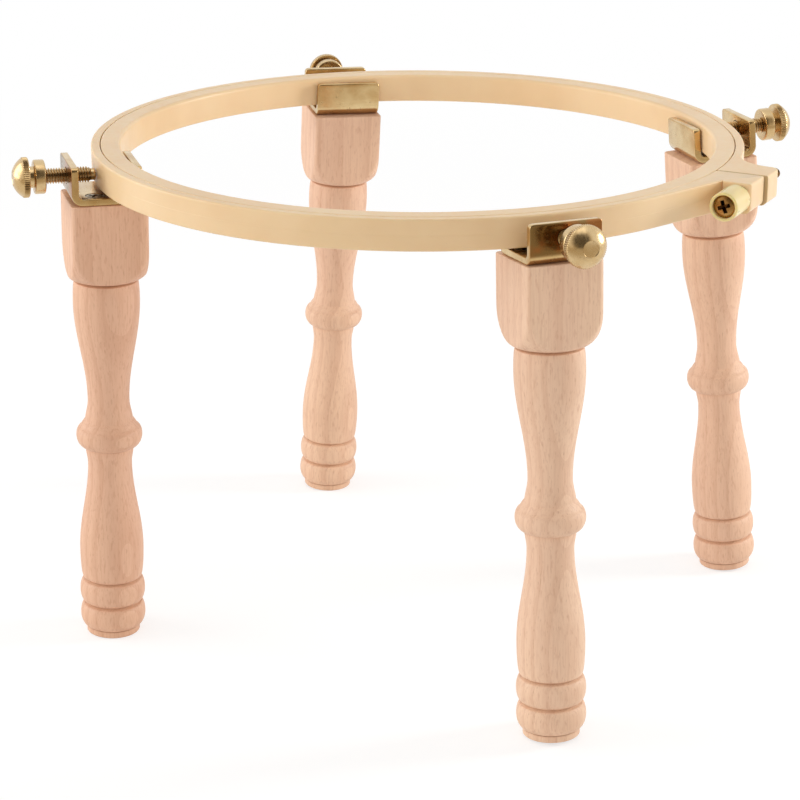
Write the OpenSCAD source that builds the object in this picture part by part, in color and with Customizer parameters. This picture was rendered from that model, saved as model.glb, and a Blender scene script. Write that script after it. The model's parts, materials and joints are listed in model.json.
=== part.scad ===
// Embroidery hoop stand. A split outer ring closes round an inner ring, and
// four turned legs hang on the pair in bent brackets with thumb screws.
// The origin is on the floor under the hoop's centre, +Z is up, and +X runs
// through the split in the outer ring.

/* [Hoop] */
// Outside radius of the outer ring
hoop_r = 125; // [105:1:150]
// Height of both rings
hoop_h = 11.4; // [10.4:0.1:12.4]
// Wall of the outer ring
outer_wall = 3.35; // [2.6:0.05:4.5]
// Wall of the inner ring at its top
inner_wall = 7.65; // [6:0.05:9]
// Draft of the inner ring's inside wall, in degrees
inner_draft = 3; // [2.5:0.1:5]
// Rounding of the outside edges of both rings
rim_edge_r = 0.7; // [0.3:0.1:1.2]
// Rounding of the inner ring's top inside edge
inner_edge_r = 1.5; // [0.6:0.1:2.2]
// Gap between the two rings, where the cloth goes
ring_gap = 0.3; // [0.2:0.05:0.6]

/* [Split and ears] */
// Width of the split in the outer ring
split_w = 0.6; // [0.4:0.1:1.5]
// Radius of the relief where the split starts
relief_r = 1; // [0.6:0.1:1.2]
// Thickness of the ear under the screw's head
near_ear_t = 14; // [11:0.5:17]
// Thickness of the ear that holds the nut
far_ear_t = 14; // [11:0.5:17]
// How far the near ear reaches past the hoop's outside
near_ear_reach = 15.1; // [14:0.1:18]
// How far the far ear reaches past the hoop's outside
far_ear_reach = 16.4; // [15:0.1:20]
// How far the ring stands out past the hoop's outside where it meets the near ear's face
near_root = 4.3; // [3:0.1:4.4]
// Rounding of the ears' lower outer corners
ear_corner_r = 2.8; // [0.8:0.1:3]
// Rounding of the near ear's upright corner
near_corner_r = 1; // [0.5:0.1:2]
// Rounding of the far ear's upright corner
far_corner_r = 4; // [1:0.1:5]

/* [Tension screw] */
// Thread diameter of the tension screw
tension_d = 4; // [3:0.5:5]
// Length of the tension screw under its head
tension_len = 54; // [50:1:62]
// Distance of the tension screw's axis past the hoop's outside
tension_reach = 9.8; // [9.8:0.1:11]
// Depth of the tension screw's axis below the hoop's top
tension_drop = 5.75; // [5.4:0.05:6.6]
// Diameter of the tension screw's pan head
head_d = 8.2; // [7.8:0.1:8.6]
// Height of the pan head
head_h = 2.8; // [2.2:0.1:3.4]
// Outside diameter of the sleeve round the head
sleeve_d = 10.6; // [10.2:0.1:11]
// Length of the sleeve
sleeve_len = 13.8; // [12:0.1:16]
// How far the head sits below the sleeve's end
head_recess = 0.4; // [0:0.1:1.2]
// Width of the nut across its flats
nut_af = 7; // [6:0.1:8]
// Thickness of the nut
nut_h = 3.2; // [2.4:0.1:4]
// How far the nut sinks into the far ear
nut_sink = 2.4; // [1.6:0.1:3.2]
// Radial play of the screw in the ears and the sleeve
screw_play = 0.15; // [0.1:0.05:0.25]

/* [Leg] */
// Width of the square block
block_w = 28.8; // [28:0.1:32]
// Rounding of the block's upright edges
block_edge_r = 1.8; // [0.8:0.1:3]
// Height of the block before the turning starts
block_h = 13.2; // [10:0.1:18]
// Height of the rounded shoulder under the block
shoulder_h = 18.6; // [15:0.1:24]
// Neck radius under the shoulder
neck_r = 12; // [10.5:0.1:12.5]
// Height of the upper baluster, from the neck to the waist
upper_h = 48.5; // [36:0.5:60]
// Height of the crest of the upper baluster, from the neck
upper_crest_h = 8.5; // [5:0.5:12]
// Largest radius of the upper baluster
upper_r = 12.7; // [12.6:0.1:14]
// Waist radius
waist_r = 8; // [6.5:0.1:8.8]
// Height of the flare from the waist to the bead
flare_h = 9.4; // [6:0.1:13]
// Radius where the bead meets its flares
bead_root_r = 9.3; // [8.8:0.1:10.5]
// Largest radius of the bead
bead_r = 12.7; // [11.5:0.1:14]
// Height of the bead
bead_h = 9.6; // [6:0.1:11]
// Height of the flare from the bead to the ankle
ankle_h = 7; // [6:0.1:12]
// Ankle radius
ankle_r = 8.5; // [7:0.1:8.8]
// Height of the lower baluster, from the ankle to the rings
lower_h = 47.9; // [38:0.1:60]
// Height of the crest of the lower baluster, above the rings
lower_crest_h = 12.4; // [9:0.1:18]
// Largest radius of the lower baluster
lower_r = 12.4; // [11.5:0.1:14]
// Largest radius of the two rings over the foot
ring_r = 12.7; // [11.8:0.1:14]
// Height of each ring
ring_h = 10.2; // [8:0.1:12]
// Depth of the cuts between the turned forms
cut_depth = 1.1; // [0.6:0.1:1.4]
// Radius of the foot disc
foot_r = 10.4; // [9:0.1:11]
// Height of the foot disc
foot_h = 2.7; // [2:0.1:4]
// Rounding of the foot disc's lower edge
foot_edge = 0.6; // [0.3:0.1:1]

/* [Leg places] */
// Angle of the right leg round the hoop, from the split
angle_right = 43.5; // [40:0.5:60]
// Angle of the back leg
angle_back = 132; // [115:0.5:150]
// Angle of the left leg
angle_left = 223; // [205:0.5:240]
// Angle of the front leg
angle_front = 318.1; // [300:0.1:320]
// Outward lean of the right leg, in degrees
splay_right = 4.2; // [0.5:0.1:5]
// Outward lean of the back leg
splay_back = 3.6; // [0.5:0.1:5]
// Outward lean of the left leg
splay_left = 0.8; // [0.5:0.1:5]
// Outward lean of the front leg
splay_front = 3.3; // [0.5:0.1:5]
// Sideways lean of the right leg, in degrees
sway_right = -1.3; // [-2:0.1:2]
// Sideways lean of the back leg
sway_back = 1.6; // [-2:0.1:2]
// Sideways lean of the left leg
sway_left = -0.7; // [-2:0.1:2]
// Sideways lean of the front leg
sway_front = 0.1; // [-2:0.1:2]

/* [Bracket] */
// Thickness of the bracket's sheet
sheet_t = 2.7; // [1.8:0.1:3]
// Width of the bracket along the hoop
bracket_w = 26.9; // [22:0.1:28]
// Clear width between the bracket's two tabs
channel_w = 20.9; // [20:0.1:23]
// Height of the inner tab from the bracket's underside
inner_tab_h = 14.1; // [11:0.1:14.6]
// Height of the outer tab from the bracket's underside
outer_tab_h = 14.6; // [13.6:0.1:16]
// Inside radius of the bracket's bends
bend_r = 1.6; // [0.8:0.1:1.8]
// Rounding of the tabs' upper corners
tab_corner_r = 1.6; // [0.6:0.1:3]
// How far the block stands out past the outer tab
block_overhang = 0.3; // [0:0.1:2]
// Gap between the hoop and what seats on it sideways
seat_gap = 0.3; // [0.2:0.05:0.5]
// Gap between the bracket's floor and the hoop, which hangs clamped over it
floor_gap = 0.9; // [0.2:0.05:1.5]

/* [Wood screws] */
// Head diameter of the wood screws
wood_head_d = 7; // [6:0.1:8]
// Shank diameter of the wood screws
wood_shank_d = 3.5; // [3:0.1:4.2]
// Length of the wood screws
wood_len = 22; // [16:1:30]
// Length of the wood screws' point
wood_point = 5; // [3:0.5:7]
// Offset of each wood screw from the channel's middle, towards its tab
wood_in = 4; // [2:0.1:4.2]
// Offset of each wood screw sideways, along the hoop
wood_side = 8.2; // [6:0.1:8.8]

/* [Thumb screw] */
// Thread diameter of the thumb screw
thumb_d = 6; // [5:0.5:7]
// Height of the thumb screw's axis above the bracket's underside
thumb_rise = 8.9; // [8.3:0.1:9.6]
// Length from the screw's nose end to its collar
thumb_thread = 17; // [16:0.1:19]
// Diameter of the collar
collar_d = 12.8; // [11:0.1:13.4]
// Length of the collar
collar_h = 4; // [3:0.1:5]
// Diameter of the neck between the collar and the rim
thumb_neck_d = 8; // [7:0.1:9]
// Length of that neck
thumb_neck_h = 2; // [1:0.1:2.5]
// Diameter of the knurled rim
rim_d = 15; // [14:0.1:17]
// Length of the knurled rim
rim_h = 2.4; // [2:0.1:4]
// Height of the dome over the rim
dome_h = 3.8; // [3:0.1:5]
// Diameter of the flat spot on the dome
dome_flat_d = 6; // [2:0.1:8]
// Diameter of the swivel nose
nose_d = 4.4; // [3.6:0.1:4.6]
// Length of the swivel nose in front of the thread
nose_h = 2; // [1.4:0.1:2.6]
// Diameter of the nose's stem inside the screw
stem_d = 2.4; // [2:0.1:2.6]
// Length of the nose's stem
stem_h = 4; // [3:0.5:6]
// Play of the stem in the screw, and of the screw in the bracket
thread_play = 0.05; // [0.05:0.01:0.08]

/* [Hidden] */

$fn = 96;
arc_steps = 6;
curve_steps = 9;
past = 1;
hair = 0.1;

ring_wall_r = hoop_r - outer_wall;
inner_out_r = ring_wall_r - ring_gap;
inner_top_r = inner_out_r - inner_wall;
inner_foot_r = inner_top_r + hoop_h * tan(inner_draft);

right = [angle_right, splay_right, sway_right];
back = [angle_back, splay_back, sway_back];
left = [angle_left, splay_left, sway_left];
front = [angle_front, splay_front, sway_front];

// Depths of the turned forms below the leg's top
neck_at = block_h + shoulder_h;
upper_at = neck_at + upper_crest_h;
waist_at = neck_at + upper_h;
bead_at = waist_at + flare_h;
bead_end = bead_at + bead_h;
ankle_at = bead_end + ankle_h;
rings_at = ankle_at + lower_h;
lower_at = rings_at - lower_crest_h;
foot_at = rings_at + 2 * ring_h;
leg_len = foot_at + foot_h;

// A bracket's inner tab leans with its leg, so it meets the drafted wall of
// the inner ring at the tab's top or at the hoop's underside, and the leg
// stands as far out as the nearer of the two allows
tab_x = block_w / 2 - block_overhang - sheet_t - channel_w;
mid_x = tab_x + channel_w / 2;
function reach_r(r) = sqrt(pow(r - seat_gap, 2) - pow(bracket_w / 2, 2)) - tab_x;
function axis_r(place) = min(
    reach_r(inner_top_r) + inner_tab_h * sin(place[1]),
    reach_r(inner_foot_r) + sheet_t * sin(place[1])
);
// All feet stand on the floor
function upright(place) = cos(place[1]) * cos(place[2]);
function top_z(place) = leg_len * upright(place) + (foot_r - foot_edge) * sin(acos(upright(place)));
// The highest point of a bracket's floor under the hoop, with its gap
function seat_z(place) = top_z(place) + sheet_t + floor_gap
    + (hoop_r - axis_r(place)) * sin(place[1]) + bracket_w / 2 * abs(sin(place[2]));
hoop_z = max([for (place = [right, back, left, front]) seat_z(place)]);
hoop_top_z = hoop_z + hoop_h;

tension_x = hoop_r + tension_reach;
tension_z = hoop_top_z - tension_drop;
near_face_y = -split_w / 2 - near_ear_t;
far_face_y = split_w / 2 + far_ear_t;
sleeve_y = near_face_y - seat_gap - sleeve_len;
head_seat_y = sleeve_y + head_recess + head_h;

// Distance along a thumb screw's axis from the leg's axis to its nose
function nose_x(place) =
    (hoop_r + seat_gap - axis_r(place) + thumb_rise * sin(place[1])) / cos(place[1]);

// Points of a corner of radius r about [x, z], from angle a to angle b
function corner(x, z, r, a, b) =
    [for (i = [0 : arc_steps]) let (t = a + (b - a) * i / arc_steps) [x + r * cos(t), z + r * sin(t)]];

// Turned curve: an S from radius ra at depth sa to radius rb at depth sb
function swell(sa, ra, sb, rb) =
    [for (i = [0 : curve_steps]) let (t = i / curve_steps)
        [(ra + rb) / 2 + (ra - rb) / 2 * cos(180 * t), -(sa + (sb - sa) * t)]];

// Turned bead: a half ellipse from sa to sb that stands out from r to top
function bead(sa, sb, r, top) =
    [for (i = [0 : curve_steps]) let (t = 180 * i / curve_steps)
        [r + (top - r) * sin(t), -((sa + sb) / 2 - (sb - sa) / 2 * cos(t))]];

// Square with round corners, centred, side w
module round_square(w, r) {
    union() {
        square([w - 2 * r, w], center = true);
        square([w, w - 2 * r], center = true);
        for (x = [-1, 1], y = [-1, 1])
            translate([x * (w / 2 - r), y * (w / 2 - r)]) circle(r);
    }
}

// Place of a leg and all that is fixed to it: the leg's top centre is the
// local origin, local +X points away from the hoop and local +Z up the leg
module at_leg(place)
    rotate([0, 0, place[0]]) translate([axis_r(place), 0, top_z(place)])
        rotate([place[2], -place[1], 0]) children();

// Round solid on the tension screw's axis, from y = 0 towards +Y
module along_y(x, y, z, d, h)
    translate([x, y, z]) rotate([-90, 0, 0]) cylinder(d = d, h = h);

// Hexagonal prism on the tension screw's axis
module hex_y(y, af, h)
    translate([tension_x, y, tension_z]) rotate([-90, 30, 0]) cylinder(d = af / cos(30), h = h, $fn = 6);

// One ear, cut to the hoop's height, from the ring's wall to reach and from
// the split to its face on that side; its upright corner is rounded by turn_r
module ear(reach, face_y, turn_r) {
    r = ear_corner_r;
    root = ring_wall_r + relief_r;
    out = hoop_r + reach;
    side = sign(face_y);
    outline = concat(
        [[root, 0]],
        corner(out - r, r, r, -90, 0),
        corner(out - r / 3, hoop_h - r / 3, r / 3, 0, 90),
        [[root, hoop_h]]
    );
    plan = concat(
        [[root - past, 0], [out, 0]],
        corner(out - turn_r, abs(face_y) - turn_r, turn_r, 0, 90),
        [[root - past, abs(face_y)]]
    );
    translate([0, 0, hoop_z]) intersection() {
        translate([0, max(face_y, 0) + past, 0]) rotate([90, 0, 0])
            linear_extrude(abs(face_y) + 2 * past) polygon(outline);
        translate([0, 0, -past]) linear_extrude(hoop_h + 2 * past)
            polygon([for (p = plan) [p[0], side * p[1]]]);
    }
}

// Straight flare of the ring's outside, from a tangent to the near ear's face;
// it lies a hair inside the tangent and the rings' flats, to cross them cleanly
module near_flare() {
    drop = rim_edge_r / 3;
    face_r = hoop_r - hair;
    end_r = sqrt(pow(hoop_r + near_root, 2) + pow(near_face_y, 2));
    run = sqrt(pow(end_r, 2) - pow(face_r, 2));
    root = sqrt(pow(hoop_r - relief_r, 2) - pow(run, 2));
    translate([0, 0, hoop_z + drop])
        rotate([0, 0, atan2(near_face_y, hoop_r + near_root) - acos(face_r / end_r)])
            linear_extrude(hoop_h - 2 * drop)
                polygon([[face_r, 0], [face_r, run + past], [root, run + past], [hoop_r - 2 * relief_r, 0]]);
}

// Sweep between the far ear's back face and the ring's outside
module ear_sweep() {
    cx = hoop_r + far_ear_reach - far_corner_r;
    r = (pow(cx, 2) + pow(far_face_y, 2) - pow(hoop_r, 2)) / (2 * (hoop_r - far_face_y));
    cy = far_face_y + r;
    touch = hoop_r / (hoop_r + r);
    translate([0, 0, hoop_z]) linear_extrude(hoop_h)
        difference() {
            polygon([
                [ring_wall_r + relief_r, far_face_y - past], [cx, far_face_y - past], [cx, far_face_y],
                [cx * touch, cy * touch],
                [(ring_wall_r + relief_r) * cos(atan2(cy, cx)), (ring_wall_r + relief_r) * sin(atan2(cy, cx))]
            ]);
            translate([cx, cy]) circle(r, $fn = 180);
        }
}

module outer_ring() {
    r = rim_edge_r;
    section = concat(
        [[ring_wall_r, r / 2], [ring_wall_r + r / 2, 0]],
        corner(hoop_r - r, r, r, -90, 0),
        corner(hoop_r - r, hoop_h - r, r, 0, 90),
        [[ring_wall_r + r / 2, hoop_h], [ring_wall_r, hoop_h - r / 2]]
    );
    bore = tension_d + 2 * screw_play;
    color("burlywood") difference() {
        union() {
            translate([0, 0, hoop_z]) rotate_extrude($fn = 180) polygon(section);
            ear(near_ear_reach, near_face_y, near_corner_r);
            ear(far_ear_reach, far_face_y, far_corner_r);
            near_flare();
            ear_sweep();
        }
        translate([ring_wall_r - past, -split_w / 2, hoop_z - past])
            cube([outer_wall + far_ear_reach + 2 * past, split_w, hoop_h + 2 * past]);
        translate([ring_wall_r, 0, hoop_z - past]) cylinder(r = relief_r, h = hoop_h + 2 * past);
        along_y(tension_x, near_face_y - past, tension_z, bore, far_face_y - near_face_y + 2 * past);
        hex_y(far_face_y - nut_sink, nut_af + 2 * screw_play, nut_sink + nut_h);
    }
}

module inner_ring() {
    r = rim_edge_r;
    e = inner_edge_r;
    lean = e * tan(inner_draft);
    section = concat(
        [[inner_foot_r + r, 0]],
        corner(inner_out_r - r, r, r, -90, 0),
        corner(inner_out_r - r / 2, hoop_h - r / 2, r / 2, 0, 90),
        corner(inner_top_r + e + lean, hoop_h - e, e, 90, 180 + inner_draft),
        [[inner_foot_r - r * tan(inner_draft), r]]
    );
    color("tan") translate([0, 0, hoop_z]) rotate_extrude($fn = 180) polygon(section);
}

module tension_nut() {
    color("dimgray") difference() {
        hex_y(far_face_y - nut_sink, nut_af, nut_h);
        along_y(tension_x, far_face_y - nut_sink - past, tension_z,
                tension_d + 2 * thread_play, nut_h + 2 * past);
    }
}

// Pan head with a domed top, then the shank with a chamfered end
module tension_screw() {
    point = tension_d / 8;
    shank_r = tension_d / 2;
    profile = concat(
        [[0, tension_len], [shank_r - point, tension_len], [shank_r, tension_len - point], [shank_r, 0]],
        [[head_d / 2 - point / 2, 0], [head_d / 2, -point / 2]],
        [for (i = [0 : arc_steps]) let (t = 90 * i / arc_steps)
            [head_d / 2 * cos(t), -(head_h + (2 * sin(t) - 2) * head_h / 4)]]
    );
    color("goldenrod") translate([tension_x, head_seat_y, tension_z]) rotate([-90, 0, 0])
        rotate_extrude() polygon(profile);
}

module tension_sleeve() {
    edge = (sleeve_d - head_d) / 8;
    bore = tension_d / 2 + screw_play;
    pocket = head_d / 2 + screw_play;
    seat = head_recess + head_h + thread_play;
    profile = [
        [pocket, 0], [sleeve_d / 2 - edge, 0], [sleeve_d / 2, edge], [sleeve_d / 2, sleeve_len - edge],
        [sleeve_d / 2 - edge, sleeve_len], [bore, sleeve_len], [bore, seat], [pocket, seat]
    ];
    color("khaki") translate([tension_x, sleeve_y, tension_z]) rotate([-90, 0, 0])
        rotate_extrude() polygon(profile);
}

// Quarter ellipse from radius ra at depth sa to rb at sb, upright at sa when
// steep_end is true and at sb when it is false
function quarter(sa, ra, sb, rb, steep_end) =
    [for (i = [0 : arc_steps]) let (t = 90 * i / arc_steps) steep_end
        ? [rb + (ra - rb) * cos(t), -(sa + (sb - sa) * sin(t))]
        : [ra + (rb - ra) * sin(t), -(sb - (sb - sa) * cos(t))]];

// Outline of the whole turned leg, radius against depth below the top
function leg_outline() = let (
    corner_r = block_w / sqrt(2),
    cut = cut_depth / 2
) concat(
    [[0, 0], [corner_r, 0]],
    quarter(block_h, corner_r, neck_at - cut, neck_r, true),
    [[neck_r - cut_depth, -neck_at]],
    quarter(neck_at + cut, neck_r, upper_at, upper_r, false),
    swell(upper_at, upper_r, waist_at, waist_r),
    swell(waist_at, waist_r, bead_at, bead_root_r),
    bead(bead_at, bead_end, bead_root_r, bead_r),
    swell(bead_end, bead_root_r, ankle_at, ankle_r),
    swell(ankle_at, ankle_r, lower_at, lower_r),
    quarter(lower_at, lower_r, rings_at - cut, lower_r - cut_depth, true),
    [[ring_r - 2 * cut_depth, -rings_at]],
    bead(rings_at + cut, rings_at + ring_h - cut, ring_r - 1.5 * cut_depth, ring_r),
    [[ring_r - 2 * cut_depth, -(rings_at + ring_h)]],
    quarter(rings_at + ring_h + cut, ring_r - 1.5 * cut_depth, foot_at - ring_h / 2, ring_r, false),
    quarter(foot_at - ring_h / 2, ring_r, foot_at, foot_r - cut, true),
    [[foot_r, -foot_at], [foot_r, -(leg_len - foot_edge)]],
    [[foot_r - foot_edge, -leg_len], [0, -leg_len]]
);

// Places of the two wood screws on the block's top, one each side
module at_wood_screws()
    for (side = [-1, 1]) translate([mid_x + side * wood_in, side * wood_side, sheet_t]) children();

// One wood screw, head up, with play round its shank and point
module wood_screw(play) {
    head_drop = (wood_head_d - wood_shank_d) / 2;
    profile = [
        [0, play], [wood_head_d / 2 + play, play], [wood_head_d / 2 + play, -play],
        [wood_shank_d / 2 + play, -head_drop - play],
        [wood_shank_d / 2 + play, -(wood_len - wood_point)], [0, -wood_len - play]
    ];
    rotate_extrude($fn = 48) polygon(profile);
}

module leg(place) {
    color("burlywood") at_leg(place) difference() {
        intersection() {
            translate([0, 0, -leg_len - past]) linear_extrude(leg_len + past)
                round_square(block_w, block_edge_r);
            rotate_extrude() polygon(leg_outline());
        }
        at_wood_screws() wood_screw(thread_play);
    }
}

// Section of the bracket across the hoop: a channel with round bends
module bracket_section() {
    out = bend_r + sheet_t;
    x0 = tab_x - sheet_t;
    x1 = tab_x + channel_w + sheet_t;
    outline = concat(
        [[x1, outer_tab_h], [x1 - sheet_t, outer_tab_h]],
        corner(x1 - sheet_t - bend_r, sheet_t + bend_r, bend_r, 0, -90),
        corner(x0 + sheet_t + bend_r, sheet_t + bend_r, bend_r, -90, -180),
        [[x0 + sheet_t, inner_tab_h], [x0, inner_tab_h]],
        corner(x0 + out, out, out, 180, 270),
        corner(x1 - out, out, out, -90, 0)
    );
    polygon(outline);
}

// Outline of a tab seen along the channel's width, with round upper corners
module tab_face(x0, x1, h) {
    half = bracket_w / 2;
    r = tab_corner_r;
    outline = concat(
        [[half, -past]], corner(half - r, h - r, r, 0, 90),
        corner(r - half, h - r, r, 90, 180), [[-half, -past]]
    );
    translate([x0, 0, 0]) rotate([90, 0, 90]) linear_extrude(x1 - x0) polygon(outline);
}

module bracket(place) {
    reach = channel_w / 2 + sheet_t + past;
    color("gold") at_leg(place) difference() {
        intersection() {
            translate([0, bracket_w / 2 + past, 0]) rotate([90, 0, 0])
                linear_extrude(bracket_w + 2 * past) bracket_section();
            union() {
                tab_face(mid_x - reach, mid_x, inner_tab_h);
                tab_face(mid_x, mid_x + reach, outer_tab_h);
            }
        }
        translate([mid_x, 0, thumb_rise]) rotate([0, 90, 0])
            cylinder(d = thumb_d + 2 * thread_play, h = reach);
        at_wood_screws() wood_screw(thread_play);
    }
}

module wood_screws(place) {
    color("silver") at_leg(place) at_wood_screws() wood_screw(0);
}

// The swivel nose that bears on the hoop, with its stem in the screw
module thumb_nose(place) {
    edge = nose_d / 8;
    profile = [
        [0, 0], [nose_d / 2 - edge, 0], [nose_d / 2, edge], [nose_d / 2, nose_h - thread_play],
        [stem_d / 2, nose_h - thread_play], [stem_d / 2, nose_h + stem_h], [0, nose_h + stem_h]
    ];
    color("darkgoldenrod") at_leg(place) translate([nose_x(place), 0, thumb_rise]) rotate([0, 90, 0])
        rotate_extrude($fn = 48) polygon(profile);
}

// Thread, collar, neck, knurled rim and dome, turned in one piece
module thumb_screw(place) {
    edge = 0.6;
    bore = stem_d / 2 + thread_play;
    shank = thumb_d / 2;
    c0 = thumb_thread;
    c1 = c0 + collar_h;
    n1 = c1 + thumb_neck_h;
    r1 = n1 + rim_h;
    flat = dome_flat_d / 2;
    dome_r = (pow(rim_d / 2 - edge / 2, 2) + pow(dome_h, 2)) / (2 * dome_h);
    sweep = asin((rim_d / 2 - edge / 2) / dome_r);
    flat_at = asin(flat / dome_r);
    profile = concat(
        [[0, stem_h + thread_play], [bore, stem_h + thread_play], [bore, 0], [shank - edge, 0], [shank, edge]],
        [[shank, c0], [collar_d / 2 - edge, c0], [collar_d / 2, c0 + edge]],
        [[collar_d / 2, c1 - edge], [collar_d / 2 - edge, c1], [thumb_neck_d / 2, c1], [thumb_neck_d / 2, n1]],
        [[rim_d / 2 - edge / 2, n1], [rim_d / 2, n1 + edge / 2], [rim_d / 2, r1 - edge / 2]],
        [for (i = [0 : curve_steps]) let (t = sweep + (flat_at - sweep) * i / curve_steps)
            [dome_r * sin(t), r1 + dome_h - dome_r * (1 - cos(t))]],
        [[0, r1 + dome_h - dome_r * (1 - cos(flat_at))]]
    );
    color("gold") at_leg(place) translate([nose_x(place) + nose_h, 0, thumb_rise]) rotate([0, 90, 0])
        rotate_extrude() polygon(profile);
}

outer_ring();
inner_ring();
tension_nut();
tension_screw();
tension_sleeve();
leg(right);  // leg_right
leg(back);  // leg_back
leg(left);  // leg_left
leg(front);  // leg_front
bracket(right);  // bracket_right
bracket(back);  // bracket_back
bracket(left);  // bracket_left
bracket(front);  // bracket_front
wood_screws(right);  // wood_screws_right
wood_screws(back);  // wood_screws_back
wood_screws(left);  // wood_screws_left
wood_screws(front);  // wood_screws_front
thumb_screw(right);  // thumb_screw_right
thumb_screw(back);  // thumb_screw_back
thumb_screw(left);  // thumb_screw_left
thumb_screw(front);  // thumb_screw_front
thumb_nose(right);  // thumb_nose_right
thumb_nose(back);  // thumb_nose_back
thumb_nose(left);  // thumb_nose_left
thumb_nose(front);  // thumb_nose_front
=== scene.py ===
"""Looks of the embroidery hoop stand.

Two moulded hoop rings stand on four turned beech legs. Each leg holds them in a
bent brass-plated bracket with a thumb screw. Every piece here stands for one
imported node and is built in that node's place. Sizes are in millimetres, and
mesh_piece() turns them into metres.
"""

import json
import math

import bmesh
import bpy
import numpy as np
from mathutils import Matrix, Vector


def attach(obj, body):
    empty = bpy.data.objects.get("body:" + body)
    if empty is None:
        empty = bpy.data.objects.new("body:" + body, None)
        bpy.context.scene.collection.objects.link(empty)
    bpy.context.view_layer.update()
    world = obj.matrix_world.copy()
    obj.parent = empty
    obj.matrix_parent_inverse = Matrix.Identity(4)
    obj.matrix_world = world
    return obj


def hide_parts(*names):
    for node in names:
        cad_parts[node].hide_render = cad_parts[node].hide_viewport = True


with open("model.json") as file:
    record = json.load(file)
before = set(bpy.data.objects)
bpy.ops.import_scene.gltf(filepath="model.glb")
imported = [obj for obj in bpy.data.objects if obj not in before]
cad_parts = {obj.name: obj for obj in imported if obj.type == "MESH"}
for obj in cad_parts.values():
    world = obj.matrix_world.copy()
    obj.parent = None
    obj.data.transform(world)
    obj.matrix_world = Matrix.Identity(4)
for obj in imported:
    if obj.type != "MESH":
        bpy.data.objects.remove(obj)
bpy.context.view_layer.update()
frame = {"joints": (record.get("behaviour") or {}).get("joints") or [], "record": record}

MM = 0.001
RECORD = frame["record"]
JOINTS = {joint["name"]: joint for joint in frame["joints"]}
MOUNTS = {mount["name"]: mount for mount in RECORD["mounts"]}
LEGS = ("right", "back", "left", "front")

# Sizes that the part's source gives, in millimetres; the draft is in degrees
HOOP_R, HOOP_H = 125, 11.4
OUTER_WALL, INNER_WALL, RING_GAP = 3.35, 7.65, 0.3
INNER_DRAFT, INNER_EDGE_R = 3, 1.5
RIM_EDGE_R, SPLIT_W, RELIEF_R = 0.7, 0.6, 1
NEAR_EAR_T, FAR_EAR_T, NEAR_ROOT = 14, 14, 4.3
NEAR_EAR_REACH, FAR_EAR_REACH = 15.1, 16.4
EAR_CORNER_R, NEAR_CORNER_R, FAR_CORNER_R = 2.8, 1, 4
TENSION_D, TENSION_PITCH, TENSION_LEN = 4, 0.7, 54
HEAD_D, HEAD_H, HEAD_RECESS = 8.2, 2.8, 0.4
SLEEVE_D, SLEEVE_LEN = 10.6, 13.8
NUT_AF, NUT_H, NUT_SINK = 7, 3.2, 2.4
BLOCK_W, BLOCK_EDGE_R, BLOCK_H = 28.8, 1.8, 13.2
SHOULDER_H, NECK_R = 18.6, 12
UPPER_H, UPPER_CREST_H, UPPER_R = 48.5, 8.5, 12.7
WAIST_R, FLARE_H, BEAD_ROOT_R, BEAD_R, BEAD_H = 8, 9.4, 9.3, 12.7, 9.6
ANKLE_H, ANKLE_R, LOWER_H, LOWER_CREST_H, LOWER_R = 7, 8.5, 47.9, 12.4, 12.4
RING_R, RING_H, CUT_DEPTH = 12.7, 10.2, 1.1
FOOT_R, FOOT_H, FOOT_EDGE = 10.4, 2.7, 0.6
SHEET_T, BRACKET_W, CHANNEL_W = 2.7, 26.9, 20.9
INNER_TAB_H, OUTER_TAB_H, BEND_R, TAB_CORNER_R, BLOCK_OVERHANG = 14.1, 14.6, 1.6, 1.6, 0.3
WOOD_HEAD_D, WOOD_SHANK_D, WOOD_LEN, WOOD_IN, WOOD_SIDE = 7, 3.5, 22, 4, 8.2
THUMB_D, THUMB_PITCH, THUMB_THREAD, THUMB_RISE = 6, 1, 17, 8.9
COLLAR_D, COLLAR_H, THUMB_NECK_D, THUMB_NECK_H = 12.8, 4, 8, 2
RIM_D, RIM_H, DOME_H, DOME_FLAT_D = 15, 2.4, 3.8, 6
NOSE_D, NOSE_H, STEM_D, STEM_H = 4.4, 2, 2.4, 4

# Finish, which the scene alone gives
TONES = {"right": 0.3, "back": 0.2, "left": 0.6, "front": 0.0}  # how much redder a leg's wood is
RECESS_TURN = 20  # degrees, as the tension screw's cross stands in the photograph
CREASE = 32  # degrees, over which an edge is drawn sharp
THREAD_DEPTH = 0.61  # in pitches
CORE_GAP = 0.1  # how far a screw's core lies inside its thread's roots
SPLIT_EDGE_R, EAR_EDGE_R, NOTCH_EDGE_R = 0.45, 0.5, 0.35
PARTING_DEPTH = 0.05  # of the groove round the outer ring
WOBBLE = 0.04  # by which a turning is out of round

RING_WALL_R = HOOP_R - OUTER_WALL
INNER_OUT_R = RING_WALL_R - RING_GAP
INNER_TOP_R = INNER_OUT_R - INNER_WALL
TAB_X = BLOCK_W / 2 - BLOCK_OVERHANG - SHEET_T - CHANNEL_W
MID_X = TAB_X + CHANNEL_W / 2
HOOP_TOP_Z = MOUNTS["hoop_top"]["pos_m"][2] / MM
HOOP_Z = HOOP_TOP_Z - HOOP_H
HEAD_SEAT = Vector(JOINTS["tension_turn"]["pos_m"]) / MM + Vector((0, HEAD_RECESS + HEAD_H, 0))


# ---------------------------------------------------------------- mesh helpers
def smooth(t):
    """Smooth step from 0 to 1 of an array, clipped at both ends."""
    t = np.clip(t, 0, 1)
    return t * t * (3 - 2 * t)


def fall_back(x, r):
    """How far a corner rounded by r stands back at a distance x from its edge."""
    return np.where(x < r, r - np.sqrt(np.maximum(r * r - (r - x) ** 2, 0)), 0)


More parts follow.
